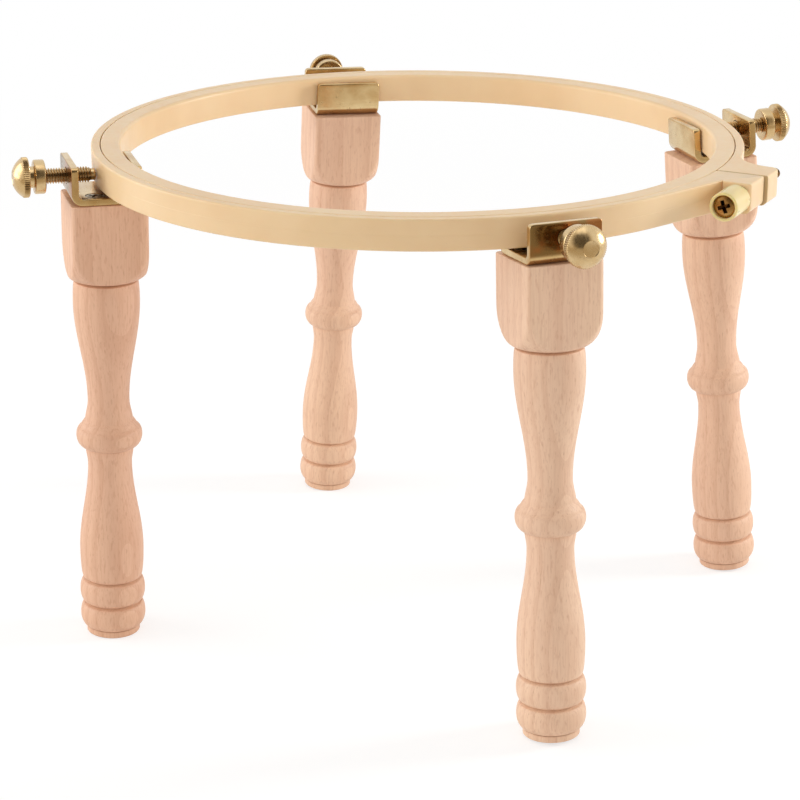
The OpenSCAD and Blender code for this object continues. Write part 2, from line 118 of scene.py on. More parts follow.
def arc(cx, cz, r, start, end, steps=8):
    """Points of an arc about (cx, cz), between two angles in degrees."""
    angles = np.radians(np.linspace(start, end, steps + 1))
    return [(cx + r * math.cos(t), cz + r * math.sin(t)) for t in angles]


def lathe(profile, columns, press=None):
    """Rows of points round +Z from (radius, height) pairs; press may change radii."""
    profile = np.array(profile, float)
    turn = np.linspace(0, 2 * math.pi, columns, endpoint=False)
    radius = np.repeat(profile[:, :1], columns, 1)
    height = np.repeat(profile[:, 1:], columns, 1)
    if press:
        radius = press(radius, height, turn[None, :])
    return np.stack([radius * np.cos(turn), radius * np.sin(turn), height], 2)


def helix(diameter, pitch, length, columns=48):
    """Rows of a 60 degree screw thread round +Z, from its chamfered end at 0 to length."""
    depth = THREAD_DEPTH * pitch
    # A pitch holds the crest's two edges and the root's two edges
    phases = np.array([0, 0.125, 0.4375, 0.6875])
    radii = diameter / 2 - depth * np.array([0, 0, 1, 1])
    turns = int(length / pitch) + 3
    row_z = (np.arange(-1, turns)[:, None] + phases).ravel() * pitch - pitch
    row_r = np.tile(radii, turns + 1)
    turn = np.linspace(0, 2 * math.pi, columns + 1)
    z = row_z[:, None] + pitch * turn / (2 * math.pi)
    r = np.minimum(row_r[:, None], diameter / 2 - depth - CORE_GAP + np.clip(z, 0, None))
    r = np.where(z > length, diameter / 2 - depth, r)
    z = np.clip(z, 0, length)
    return np.stack([r * np.cos(turn), r * np.sin(turn), z], 2)


def root_mark(rows, diameter, pitch):
    """1 at a thread's roots and 0 at its crests."""
    return (diameter / 2 - np.hypot(rows[..., 0], rows[..., 1])) / (THREAD_DEPTH * pitch)


def resample(profile, step):
    """Points at even steps along a line of (radius, height) pairs, corners kept."""
    out = [profile[0]]
    for a, b in zip(profile, profile[1:]):
        count = max(1, math.ceil(math.dist(a, b) / step))
        out += [tuple(np.array(a) + (np.array(b) - a) * k / count) for k in range(1, count + 1)]
    return out


class Shape:
    """Points in millimetres, faces, and one value a point for the materials."""

    def __init__(self):
        self.points, self.faces, self.marks, self.count = [], [], [], 0

    def add(self, rows, wrap=True, place=None, mark=None):
        """Add a grid of points, closed round each row where wrap is set."""
        rows = np.asarray(rows, float)
        n, m = rows.shape[:2]
        index = self.count + np.arange(n * m).reshape(n, m)
        across = np.roll(index, -1, 1) if wrap else index[:, 1:]
        here = index if wrap else index[:, :-1]
        quads = np.stack([here[:-1], across[:-1], across[1:], here[1:]], 2).reshape(-1, 4)
        self.put(rows.reshape(-1, 3), quads.tolist(), place, mark)

    def add_capped(self, rows, place=None, mark=None):
        """Add a closed grid with a face over its first row and over its last."""
        first, columns = self.count, np.shape(rows)[1]
        self.add(rows, place=place, mark=mark)
        self.faces += [list(range(first, first + columns))[::-1],
                       list(range(self.count - columns, self.count))]

    def put(self, points, faces, place=None, mark=None):
        """Add points and faces whose numbers already count from the shape's end."""
        if place is not None:
            turned = np.array(place.to_3x3())
            points = points @ turned.T + np.array(place.translation)
        self.points.append(points)
        self.faces += faces
        value = np.zeros(len(points)) if mark is None else np.asarray(mark, float).ravel()
        self.marks.append(value)
        self.count += len(points)

    def arrays(self):
        return np.concatenate(self.points), self.faces, np.concatenate(self.marks)


def make_mesh(name, shape, crease=CREASE, grain=None):
    """Blender mesh of a shape, welded, smooth but for edges over crease degrees."""
    points, faces, marks = shape.arrays()
    mesh = bpy.data.meshes.new(name)
    mesh.from_pydata((points * MM).tolist(), [], faces)
    mark = mesh.attributes.new("mark", "FLOAT", "POINT")
    mark.data.foreach_set("value", marks.astype(np.float32))
    if grain is not None:
        place = mesh.attributes.new("grain", "FLOAT_VECTOR", "POINT")
        turned = (points @ grain[0].T + grain[1]) * MM
        place.data.foreach_set("vector", turned.astype(np.float32).ravel())
    bm = bmesh.new()
    bm.from_mesh(mesh)
    bmesh.ops.remove_doubles(bm, verts=bm.verts, dist=2e-6)
    bmesh.ops.dissolve_degenerate(bm, edges=bm.edges, dist=1e-7)
    wide = [face for face in bm.faces if len(face.verts) > 4]
    bmesh.ops.triangulate(bm, faces=wide, ngon_method="EAR_CLIP")
    bm.to_mesh(mesh)
    bm.free()
    mesh.shade_smooth()
    mesh.set_sharp_from_angle(angle=math.radians(crease))
    return mesh


def mark_faces(mesh, value=None):
    """Move a mesh's marks from its points to its faces, or give all faces one value."""
    values = np.zeros(len(mesh.vertices), np.float32)
    mesh.attributes["mark"].data.foreach_get("value", values)
    faces = [float(values[list(face.vertices)].mean()) if value is None else value
             for face in mesh.polygons]
    mesh.attributes.remove(mesh.attributes["mark"])
    mesh.attributes.new("mark", "FLOAT", "FACE").data.foreach_set("value", faces)


def carve(blank, tool):
    """Mesh of the blank less the tool; the faces that the tool leaves are marked 1."""
    objects = []
    for mesh, value in ((blank, None), (tool, 1.0)):
        mark_faces(mesh, value)
        objects.append(bpy.data.objects.new("carving", mesh))
        bpy.context.scene.collection.objects.link(objects[-1])
    boolean = objects[0].modifiers.new("cut", "BOOLEAN")
    boolean.operation, boolean.solver, boolean.object = "DIFFERENCE", "EXACT", objects[1]
    bpy.context.view_layer.update()
    graph = bpy.context.evaluated_depsgraph_get()
    done = bpy.data.meshes.new_from_object(objects[0].evaluated_get(graph))
    for item in objects:
        bpy.data.objects.remove(item)
    done.shade_smooth()
    done.set_sharp_from_angle(angle=math.radians(CREASE))
    return done


def join(first, second):
    """One mesh of two, with their marks on the faces; the first has them there."""
    mark_faces(second)
    bm = bmesh.new()
    bm.from_mesh(first)
    bm.from_mesh(second)
    bm.to_mesh(first)
    bm.free()
    first.set_sharp_from_angle(angle=math.radians(CREASE))
    return first


def mesh_piece(name, mesh, material, body, nodes, place=None):
    """Put a mesh in the scene at its place, on its body and in its node's stead."""
    piece = bpy.data.objects.new(name, mesh)
    bpy.context.scene.collection.objects.link(piece)
    if place is not None:
        placed = place.copy()
        placed.translation = place.translation * MM
        piece.matrix_world = placed
    if not mesh.materials:
        mesh.materials.append(material)
    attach(piece, body)
    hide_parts(*nodes)
    return piece


def basis(x, y, z, origin):
    """Matrix whose axes are x, y and z, at origin in millimetres."""
    matrix = Matrix((x, y, z)).transposed().to_4x4()
    matrix.translation = origin
    return matrix


# ------------------------------------------------------------------- materials
def add(tree, kind, sockets=None, **settings):
    """Add a shader node, set it, and wire or fill its input sockets."""
    node = tree.nodes.new("ShaderNode" + kind)
    for key, value in settings.items():
        setattr(node, key, value)
    for key, value in (sockets or {}).items():
        if isinstance(value, bpy.types.NodeSocket):
            tree.links.new(value, node.inputs[key])
        else:
            node.inputs[key].default_value = value
    return node


def new_material(name, **shader):
    """Material with one Principled shader; returns it with its tree and shader."""
    material = bpy.data.materials.new(name)
    material.use_nodes = True
    tree = material.node_tree
    principled = tree.nodes["Principled BSDF"]
    for key, value in shader.items():
        principled.inputs[key.replace("_", " ")].default_value = value
    return material, tree, principled


def srgb(r, g, b):
    """Linear colour of an sRGB colour from 0 to 255."""
    def linear(c):
        c /= 255
        return c / 12.92 if c <= 0.04045 else ((c + 0.055) / 1.055) ** 2.4
    return (linear(r), linear(g), linear(b), 1)


def stretched(tree, vector, by):
    return add(tree, "VectorMath", {0: vector, 1: by}, operation="MULTIPLY").outputs[0]


def along(tree, vector, way):
    """How far a vector reaches along a direction."""
    return add(tree, "VectorMath", {0: vector, 1: way}, operation="DOT_PRODUCT").outputs["Value"]


def noise(tree, vector, scale, detail=2.0, roughness=0.5, stretch=(1, 1, 1)):
    """Noise of a stretched vector, from 0 to 1; its scale is in waves a metre."""
    texture = add(tree, "TexNoise", {"Vector": stretched(tree, vector, stretch), "Scale": scale,
                                     "Detail": detail, "Roughness": roughness})
    return texture.outputs[0]


def between(tree, value, low, high, to_low=0.0, to_high=1.0):
    """Value mapped smoothly from low..high to another range, and clipped."""
    sockets = {"Value": value, "From Min": low, "From Max": high,
               "To Min": to_low, "To Max": to_high}
    return add(tree, "MapRange", sockets, interpolation_type="SMOOTHSTEP").outputs[0]


def math_node(tree, operation, a, b):
    return add(tree, "Math", {0: a, 1: b}, operation=operation).outputs[0]


def mirror_ray(tree, path):
    """1 for a ray that left metal or glass."""
    return math_node(tree, "MAXIMUM", path.outputs["Is Glossy Ray"],
                     path.outputs["Is Transmission Ray"])


def mix_value(tree, factor, a, b):
    """Number a mixed with number b."""
    return add(tree, "Mix", {0: factor, 2: a, 3: b}, data_type="FLOAT").outputs[0]


def mix(tree, factor, a, b, mode="MIX"):
    """Colour a mixed with colour b."""
    node = add(tree, "Mix", {0: factor, 6: a, 7: b}, data_type="RGBA", blend_type=mode)
    return node.outputs[2]


def bump(tree, principled, height, distance, strength=1.0, below=None):
    """Add a bump of a height in metres to the shader, over one already there."""
    sockets = {"Height": height, "Distance": distance, "Strength": strength}
    if below is not None:
        sockets["Normal"] = below
    node = add(tree, "Bump", sockets)
    tree.links.new(node.outputs[0], principled.inputs["Normal"])
    return node.outputs[0]


def beech():
    """Sanded beech: growth rings, short dark flecks, fine fibre, and cuts darkened by burn marks
    and painted shade.
    """
    material, tree, principled = new_material("beech", Roughness=0.5, Specular_IOR_Level=0.35)
    grain = add(tree, "Attribute", attribute_name="grain").outputs["Vector"]
    mark = add(tree, "Attribute", attribute_name="mark").outputs["Fac"]
    tone = add(tree, "Attribute", attribute_name="tone").outputs["Fac"]
    sway = noise(tree, grain, 26, 2, 0.5, (1, 1, 0.22))
    bands = add(tree, "TexWave", {
        "Vector": stretched(tree, grain, (1, 0.35, 0.05)), "Scale": 62, "Distortion": 5.5,
        "Detail": 2.0, "Detail Scale": 0.9, "Detail Roughness": 0.55,
    }, wave_type="BANDS", bands_direction="X", wave_profile="SAW").outputs[1]
    fibre = noise(tree, grain, 1500, 2, 0.6, (1, 1, 0.05))
    fleck = noise(tree, grain, 1400, 1, 0.4, (1, 0.7, 0.2))
    pore = noise(tree, grain, 1900, 1, 0.5, (1, 1, 0.2))
    colour = mix(tree, between(tree, sway, 0.3, 0.72), srgb(236, 198, 170), srgb(243, 207, 176))
    colour = mix(tree, between(tree, bands, 0.45, 1.0, 0, 0.4), colour, srgb(220, 176, 146))
    colour = mix(tree, between(tree, fibre, 0.42, 0.72, 0, 0.3), colour, srgb(212, 166, 136))
    colour = mix(tree, between(tree, fleck, 0.58, 0.72, 0, 0.26), colour, srgb(202, 148, 118))
    colour = mix(tree, between(tree, pore, 0.62, 0.76, 0, 0.24), colour, srgb(178, 126, 98))
    colour = mix(tree, tone, colour, srgb(243, 225, 217), "MULTIPLY")
    # Marked cuts darken: partly burn marks, partly painted shade in the grooves
    colour = mix(tree, between(tree, mark, 0.1, 1.0, 0, 0.45), colour, srgb(188, 146, 114))
    tree.links.new(colour, principled.inputs["Base Color"])
    tree.links.new(between(tree, fibre, 0.2, 0.8, 0.44, 0.6), principled.inputs["Roughness"])
    below = bump(tree, principled, fibre, 0.00005, 0.5)
    bump(tree, principled, math_node(tree, "MULTIPLY", fleck, -1.0), 0.00006, 0.4, below)
    return material


def moulded(name, light, dark, roughness, translucency):
    """Moulded plastic: faint flow clouds, a soft satin skin, dust specks, and a split darkened by
    dirt and painted shade.
    """
    material, tree, principled = new_material(
        name, Subsurface_Weight=translucency, Subsurface_Scale=0.004, Specular_IOR_Level=0.45)
    principled.inputs["Subsurface Radius"].default_value = (1.0, 0.55, 0.25)
    place = add(tree, "TexCoord").outputs["Object"]
    clouds = noise(tree, place, 32, 3, 0.55)
    streaks = noise(tree, place, 420, 2, 0.5, (1, 1, 0.25))
    specks = noise(tree, place, 2600, 1, 0.5)
    colour = mix(tree, between(tree, clouds, 0.3, 0.7), light, dark)
    colour = mix(tree, between(tree, specks, 0.74, 0.82, 0, 0.2), colour, srgb(150, 118, 84))
    mark = add(tree, "Attribute", attribute_name="mark").outputs["Fac"]
    # Marked points darken olive along the split: dirt with painted shade in the gap
    colour = mix(tree, between(tree, mark, 0, 1, 0, 0.6), colour, srgb(168, 142, 92))
    tree.links.new(colour, principled.inputs["Base Color"])
    tree.links.new(between(tree, streaks, 0.25, 0.75, roughness - 0.05, roughness + 0.07),
                   principled.inputs["Roughness"])
    below = bump(tree, principled, clouds, 0.0003, 0.25)
    bump(tree, principled, streaks, 0.00003, 0.25, below)
    return material


def plated(name, light, dark, roughness, scratch=(1, 1, 1), wear=0.0, dark_reflection_x=None):
    """Plated metal: tone clouds, fine tool marks, worn spots, painted shade where marked, and a
    painted dark reflection beyond a given x in metres.
    """
    material, tree, principled = new_material(name, Metallic=1.0)
    place = add(tree, "TexCoord").outputs["Object"]
    clouds = noise(tree, place, 90, 3, 0.6)
    lines = noise(tree, place, 1400, 2, 0.6, scratch)
    spots = noise(tree, place, 480, 3, 0.65)
    colour = mix(tree, between(tree, clouds, 0.3, 0.7), light, dark)
    colour = mix(tree, between(tree, spots, 0.6, 0.75, 0, wear), colour, srgb(120, 92, 58))
    if dark_reflection_x is not None:
        # Faces beyond that x, the brackets' outer faces, get a painted dark reflection in
        # orange-brown and olive patches
        side = add(tree, "SeparateXYZ", {0: place}).outputs["X"]
        patches = noise(tree, place, 130, 2, 0.5)
        dark_reflection = mix(tree, between(tree, patches, 0.4, 0.62), srgb(164, 104, 56), srgb(140, 112, 70))
        colour = mix(tree, between(tree, side, dark_reflection_x - 0.0003, dark_reflection_x, 0, 0.9), colour, dark_reflection)
    # Marked faces and points darken to brown: painted shade in cross recesses, cut holes, thread
    # roots and knurl grooves
    mark = add(tree, "Attribute", attribute_name="mark").outputs["Fac"]
    colour = mix(tree, between(tree, mark, 0.15, 0.95, 0, 0.9), colour, srgb(84, 52, 28))
    tree.links.new(colour, principled.inputs["Base Color"])
    marked = between(tree, lines, 0.3, 0.7, roughness - 0.04, roughness + 0.06)
    rough = math_node(tree, "ADD", marked, between(tree, spots, 0.55, 0.75, 0, 0.12))
    tree.links.new(rough, principled.inputs["Roughness"])
    below = bump(tree, principled, lines, 0.00001, 0.35)
    bump(tree, principled, clouds, 0.00012, 0.2, below)
    return material


BEECH = beech()
HOOP_PLASTIC = moulded("hoop_plastic", srgb(243, 212, 168), srgb(238, 204, 158), 0.36, 0.12)
SLEEVE_PLASTIC = moulded("sleeve_plastic", srgb(240, 218, 158), srgb(233, 208, 145), 0.3, 0.3)
# The brackets' outer faces, past the last number, get a painted dark reflection
BRACKET_BRASS = plated("bracket_brass", srgb(218, 192, 144), srgb(198, 164, 112), 0.2,
                       (1, 0.08, 1), 0.25, (TAB_X + CHANNEL_W + SHEET_T) * MM)
THUMB_BRASS = plated("thumb_brass", srgb(216, 190, 146), srgb(200, 168, 118), 0.24,
                     (1, 1, 0.3), 0.2)
TENSION_BRASS = plated("tension_brass", srgb(190, 150, 92), srgb(160, 118, 66), 0.28,
                       (1, 0.3, 1), 0.5)
STEEL = plated("steel", srgb(188, 176, 152), srgb(156, 142, 116), 0.3, (1, 1, 1), 0.4)


# ----------------------------------------------------------------- hoop rings
def ring_outline():
    """Plan of the split ring with its ears: points, edge rounding, parting line."""
    split, near_y, far_y = SPLIT_W / 2, -SPLIT_W / 2 - NEAR_EAR_T, SPLIT_W / 2 + FAR_EAR_T
    near_x, far_x = HOOP_R + NEAR_EAR_REACH, HOOP_R + FAR_EAR_REACH
    sweep_x = far_x - FAR_CORNER_R
    sweep_r = (sweep_x ** 2 + far_y ** 2 - HOOP_R ** 2) / (2 * (HOOP_R - far_y))
    sweep_y = far_y + sweep_r
    sweep_end = math.degrees(math.atan2(-sweep_y, -sweep_x))
    ring_start = math.degrees(math.atan2(sweep_y, sweep_x))
    root_x = HOOP_R + NEAR_ROOT
    tangent = math.acos(HOOP_R / math.hypot(root_x, near_y))
    ring_end = 360 + math.degrees(math.atan2(near_y, root_x) - tangent)
    flare = 0.4  # length across of the near ear's straight flare before its root
    flare_y = near_y - flare / math.tan(math.radians(ring_end))
    notch = math.degrees(math.asin(split / RELIEF_R))
    split_r = 0.5
    wall = math.degrees(2 * math.asin(RELIEF_R / RING_WALL_R / 2))
    parts = [  # points, edge rounding, strength of the parting line
        (arc(far_x - split_r, split + split_r, split_r, -90, 0, 5), SPLIT_EDGE_R, 0),
        (arc(sweep_x, far_y - FAR_CORNER_R, FAR_CORNER_R, 0, 90, 12), EAR_EDGE_R, 0),
        (arc(sweep_x, sweep_y, sweep_r, -90, sweep_end, 24), EAR_EDGE_R, 1),
        (arc(0, 0, HOOP_R, ring_start, ring_end, 420), RIM_EDGE_R, 1),
        ([(root_x - flare, flare_y), (root_x, near_y)], EAR_EDGE_R, 1),
        (arc(near_x - NEAR_CORNER_R, near_y + NEAR_CORNER_R, NEAR_CORNER_R, -90, 0, 6),
         EAR_EDGE_R, 0),
        (arc(near_x - split_r, -split - split_r, split_r, 0, 90, 5), SPLIT_EDGE_R, 0),
        (arc(RING_WALL_R, 0, RELIEF_R, -notch, -86, 6), NOTCH_EDGE_R, 0),
        (arc(0, 0, RING_WALL_R, 360 - wall, wall, 420), NOTCH_EDGE_R, 0),
        (arc(RING_WALL_R, 0, RELIEF_R, 86, notch, 6), NOTCH_EDGE_R, 0),
    ]
    points, rounding, parting = [], [], []
    for line, edge, seam in parts:
        points += line
        rounding += [edge] * len(line)
        parting += [seam] * len(line)
    return np.array(points), np.array(rounding), np.array(parting, float)


def even(points, values, longest):
    """Points of a closed line with its long steps split, and its values there."""
    out, kept = [], []
    for k in range(len(points)):
        a, b = points[k], points[(k + 1) % len(points)]
        va, vb = values[k], values[(k + 1) % len(points)]
        count = max(1, math.ceil(np.linalg.norm(b - a) / longest))
        for i in range(count):
            out.append(a + (b - a) * i / count)
            kept.append(va + (vb - va) * i / count)
    return np.array(out), np.array(kept)


def outer_ring_shape():
    """The plan in rows from below to above; the parting groove is at half height."""
    points, rounding, parting = ring_outline()
    points, values = even(points, np.stack([rounding, parting], 1), longest=1.6)
    edge, seam = values[:, 0], values[:, 1]
    before, after = np.roll(points, 1, 0), np.roll(points, -1, 0)
    step_in, step_out = points - before, after - points
    for step in (step_in, step_out):
        step /= np.maximum(np.linalg.norm(step, axis=1, keepdims=True), 1e-9)
    normal_in = np.stack([-step_in[:, 1], step_in[:, 0]], 1)
    normal_out = np.stack([-step_out[:, 1], step_out[:, 0]], 1)
    inward = normal_in + normal_out
    inward /= np.maximum((inward * normal_in).sum(1, keepdims=True), 0.6)
    mid = HOOP_H / 2
    rows = []  # height, how far the row stands in, and its share of the parting groove
    quarter = np.radians(np.linspace(90, 0, 6))
    levels = [(0, 1, 0.15)] + [(1 - math.sin(t), 1 - math.cos(t), 0) for t in quarter]
    for rise, inset, extra in levels:
        rows.append((edge * rise, edge * inset + extra, 0))
    for z in (0.85, 1.2, 1.8, 2.6, mid - 0.25, mid - 0.08):
        rows.append((np.full(len(edge), z), 0 * edge, 0))
    rows.append((np.full(len(edge), mid), 0 * edge, 1))
    for z in (mid + 0.08, mid + 0.25, HOOP_H - 2.6, HOOP_H - 1.2):
        rows.append((np.full(len(edge), z), 0 * edge, 0))
    for rise, inset, extra in levels[::-1]:
        rows.append((HOOP_H - edge * rise, edge * inset + extra, 0))
    grid = []
    for z, inset, groove in rows:
        flat = points + inward * inset[:, None] + inward * (groove * seam * PARTING_DEPTH)[:, None]
        grid.append(np.column_stack([flat, z]))
    grid = np.array(grid)
    # Marks along the split for its darkening: dirt with painted shade in the gap
    by_split = np.exp(-((np.abs(grid[..., 1]) - SPLIT_W / 2) / 0.3) ** 2)
    split_dirt_and_shade = by_split * (grid[..., 0] > RING_WALL_R - 0.5)
    # The ears' outer ends are rounded by more than the rest, most of all below
    for side, reach in ((-1, NEAR_EAR_REACH), (1, FAR_EAR_REACH)):
        on = (grid[..., 1] * side > 0) & (grid[..., 0] > HOOP_R)
        z, top = grid[..., 2], EAR_CORNER_R / 3
        over = z - HOOP_H + top
        high = np.where(over > 0, top - np.sqrt(np.maximum(top ** 2 - over ** 2, 0)), 0)
        limit = HOOP_R + reach - fall_back(z, EAR_CORNER_R) - high
        grid[..., 0] = np.where(on, np.minimum(grid[..., 0], limit), grid[..., 0])
    shape = Shape()
    grid[..., 2] += HOOP_Z
    shape.add_capped(grid, mark=split_dirt_and_shade)
    return shape


def inner_ring_shape():
    """The ring's section turned round the hoop's axis."""
    r, e = RIM_EDGE_R, INNER_EDGE_R
    slope = math.tan(math.radians(INNER_DRAFT))
    foot_r = INNER_TOP_R + HOOP_H * slope
    profile = [(foot_r + r + 0.4, 0), (INNER_OUT_R - r - 0.4, 0)]
    profile += arc(INNER_OUT_R - r, r, r, -90, 0)
    profile += arc(INNER_OUT_R - r / 2, HOOP_H - r / 2, r / 2, 0, 90)
    profile += [(INNER_OUT_R - r - 0.2, HOOP_H), (INNER_TOP_R + e + 0.5, HOOP_H)]
    profile += arc(INNER_TOP_R + e + e * slope, HOOP_H - e, e, 90, 180 + INNER_DRAFT, 10)
    profile += arc(foot_r + r * (1 - slope), r, r, 180 + INNER_DRAFT, 270)
    profile.append(profile[0])
    shape = Shape()
    shape.add(lathe(profile, 480) + np.array([0, 0, HOOP_Z]))
    return shape


# --------------------------------------------------------------- tension screw
def head_dome(diameter, height, top):
    """Profile of a domed head from its rim to its middle, at z = top."""
    t = np.linspace(0.97, 0, 24)
    return [(diameter / 2 * k / 0.97, top - height * (1 - math.sqrt(1 - k * k))) for k in t]


def cross_tool(reach, arm, depth, top, place):
    """Tapered cross that cuts a driver recess into a head whose top is at z = top."""
    rows = []
    # Height, and the shares of the cross's reach and of its arms' half width there
    levels = ((top + 1, 1.12, 1.2), (top, 1, 1),
              (top - depth * 0.5, 0.8, 0.9), (top - depth, 0.25, 0.35))
    for z, far, half in levels:
        r, a = reach * far, arm * half
        quarter_points = [(r, -a), (r, a), (a, a)]
        ring = []
        for k in range(4):
            c, n = math.cos(k * math.pi / 2), math.sin(k * math.pi / 2)
            ring += [(x * c - y * n, x * n + y * c, z) for x, y in quarter_points]
        rows.append(ring)
    tool = Shape()
    tool.add_capped(rows[::-1], place=place)
    return tool


def tension_screw_mesh():
    """Local +Z runs from the head's seat to the screw's tip."""
    core, end = TENSION_D / 2 - THREAD_DEPTH * TENSION_PITCH - CORE_GAP, TENSION_LEN
    plain_r, plain_len = 1.95, 12
    head = Shape()
    flip = Matrix.Rotation(math.pi, 4, "X")
    flip.translation = Vector((0, 0, -HEAD_H))
    profile = [(0, -HEAD_H - 0.1), (plain_r, -HEAD_H - 0.1), (plain_r, -HEAD_H),
               (HEAD_D / 2 - 0.3, -HEAD_H), (HEAD_D / 2, 0.35 - HEAD_H)]
    profile += head_dome(HEAD_D, HEAD_H * 0.5, 0)
    head.add(lathe(resample(profile, 0.6), 96), place=flip)
    turn = flip @ Matrix.Rotation(math.radians(RECESS_TURN), 4, "Z")
    cross = cross_tool(reach=2.5, arm=0.72, depth=2.0, top=0, place=turn)
    mesh = carve(make_mesh("head", head), make_mesh("cross", cross))
    shank = Shape()
    thread = helix(TENSION_D, TENSION_PITCH, TENSION_LEN - plain_len)
    turn_over = Matrix.Rotation(math.pi, 4, "X")
    turn_over.translation = Vector((0, 0, end))
    # Marks paint shade into the thread's roots
    shank.add(thread, wrap=False, place=turn_over, mark=root_mark(thread, TENSION_D, TENSION_PITCH))
    profile = [(0, -0.1), (plain_r, -0.1), (plain_r, plain_len), (core, plain_len + 0.3),
               (core, end), (0, end)]
    shank.add(lathe(profile, 48))
    return join(mesh, make_mesh("shank", shank))


def sleeve_shape():
    """Local +Z runs from the sleeve's open mouth to the near ear."""
    pocket, bore, seat = HEAD_D / 2 + 0.15, TENSION_D / 2 + 0.3, HEAD_RECESS + HEAD_H + 0.02
    r, e, mouth = SLEEVE_D / 2, 0.45, 0.25
    profile = arc(r - e, e, e, -90, 0, 6) + arc(r - e, SLEEVE_LEN - e, e, 0, 90, 6)
    profile += [(bore, SLEEVE_LEN), (bore, seat), (pocket, seat), (pocket, mouth),
                (pocket + mouth, 0)]
    profile.append(profile[0])
    shape = Shape()
    shape.add(lathe(resample(profile, 1.5), 96))
    return shape


def nut_shape():
    """Hexagon nut with turned corners; local +Z is its axis."""
    across = NUT_AF / 2

    def flats(radius, height, turn):
        local = (turn + math.pi / 6) % (math.pi / 3) - math.pi / 6
        return np.minimum(radius, across / np.cos(local))

    corner = across / math.cos(math.pi / 6)
    bore, mouth = TENSION_D / 2 + 0.12, TENSION_D / 2 + 0.3
    profile = [(bore, 0.2), (mouth, 0), (across - 0.1, 0), (corner, 0.55),
               (corner, NUT_H - 0.55), (across - 0.1, NUT_H), (mouth, NUT_H), (bore, NUT_H - 0.2)]
    profile.append(profile[0])
    shape = Shape()
    shape.add(lathe(resample(profile, 0.4), 144, flats))
    return shape


# ------------------------------------------------------------------------ legs
def swell(sa, ra, sb, rb, steps=28):
    """Turned S curve between two depths, as in the part's source."""
    t = np.linspace(0, 1, steps + 1)
    return [((ra + rb) / 2 + (ra - rb) / 2 * math.cos(math.pi * k), sa + (sb - sa) * k) for k in t]


def bead(sa, sb, r, top, steps=20):
    """Half ellipse that stands out from r to top between two depths."""
    t = np.linspace(0, math.pi, steps + 1)
    return [(r + (top - r) * math.sin(k), (sa + sb) / 2 - (sb - sa) / 2 * math.cos(k)) for k in t]


def quarter(sa, ra, sb, rb, steep_at_start, steps=20):
    """Quarter ellipse between two depths, upright at its start or at its end."""
    t = np.linspace(0, math.pi / 2, steps + 1)
    if steep_at_start:
        return [(rb + (ra - rb) * math.cos(k), sa + (sb - sa) * math.sin(k)) for k in t]
    return [(ra + (rb - ra) * math.sin(k), sb - (sb - sa) * math.cos(k)) for k in t]


NECK_AT = BLOCK_H + SHOULDER_H
UPPER_AT = NECK_AT + UPPER_CREST_H
WAIST_AT = NECK_AT + UPPER_H
BEAD_AT = WAIST_AT + FLARE_H
BEAD_END = BEAD_AT + BEAD_H
ANKLE_AT = BEAD_END + ANKLE_H
RINGS_AT = ANKLE_AT + LOWER_H
LOWER_AT = RINGS_AT - LOWER_CREST_H
FOOT_AT = RINGS_AT + 2 * RING_H
LEG_LEN = FOOT_AT + FOOT_H
CUTS = (NECK_AT, RINGS_AT, RINGS_AT + RING_H)


def ease(line, at, reach):
    """Line of (radius, depth) pairs whose crease at one depth is worn to a hollow."""
    radius, depth = np.array(line).T
    fine = np.linspace(at - reach, at + reach, 37)
    spread = (fine[:, None] + np.linspace(-1, 1, 21) * (reach - np.abs(fine - at))[:, None] * 0.8)
    hollow = np.interp(spread, depth, radius).mean(1)
    before = [point for point in line if point[1] < at - reach]
    after = [point for point in line if point[1] > at + reach]
    return before + list(zip(hollow.tolist(), fine.tolist())) + after


def leg_profile():
    """Radius and depth of the turning, from the block's top to the foot."""
    cut = CUT_DEPTH / 2
    corner_r = BLOCK_W / math.sqrt(2)
    root = RING_R - 1.5 * CUT_DEPTH
    line = [(corner_r, 0.0), (corner_r, 6.0)]
    line += quarter(BLOCK_H, corner_r, NECK_AT - cut, NECK_R, True, 44)
    line += [(NECK_R - CUT_DEPTH, NECK_AT)]
    line += quarter(NECK_AT + cut, NECK_R, UPPER_AT, UPPER_R, False)
    line += swell(UPPER_AT, UPPER_R, WAIST_AT, WAIST_R)
    line += swell(WAIST_AT, WAIST_R, BEAD_AT, BEAD_ROOT_R, 12)
    line += bead(BEAD_AT, BEAD_END, BEAD_ROOT_R, BEAD_R)
    line = ease(line, BEAD_AT, 3.6)
    line += swell(BEAD_END, BEAD_ROOT_R, ANKLE_AT, ANKLE_R, 12)
    line += swell(ANKLE_AT, ANKLE_R, LOWER_AT, LOWER_R)
    line += quarter(LOWER_AT, LOWER_R, RINGS_AT - cut, LOWER_R - CUT_DEPTH, True)
    line += [(RING_R - 2 * CUT_DEPTH, RINGS_AT)]
    line += bead(RINGS_AT + cut, RINGS_AT + RING_H - cut, root, RING_R)
    line += [(RING_R - 2 * CUT_DEPTH, RINGS_AT + RING_H)]
    line += quarter(RINGS_AT + RING_H + cut, root, FOOT_AT - RING_H / 2, RING_R, False)
    line += quarter(FOOT_AT - RING_H / 2, RING_R, FOOT_AT, FOOT_R - cut, True)
    line += [(FOOT_R, FOOT_AT + 0.1)]
    line += [(r, s) for r, s in arc(FOOT_R - FOOT_EDGE, LEG_LEN - FOOT_EDGE, FOOT_EDGE, 0, 90, 5)]
    return resample(line, 1.0)


def square_radius(turn):
    """Distance from the axis to the block's side, with its rounded corners."""
    half, r = BLOCK_W / 2, BLOCK_EDGE_R
    x, y = np.abs(np.cos(turn)), np.abs(np.sin(turn))
    high, low = np.maximum(x, y), np.minimum(x, y)
    flat = half / high
    c = half - r
    along = c * (high + low)
    round_part = along + np.sqrt(np.maximum(along ** 2 - 2 * c * c + r * r, 0))
    return np.where(flat * low <= c, flat, round_part)


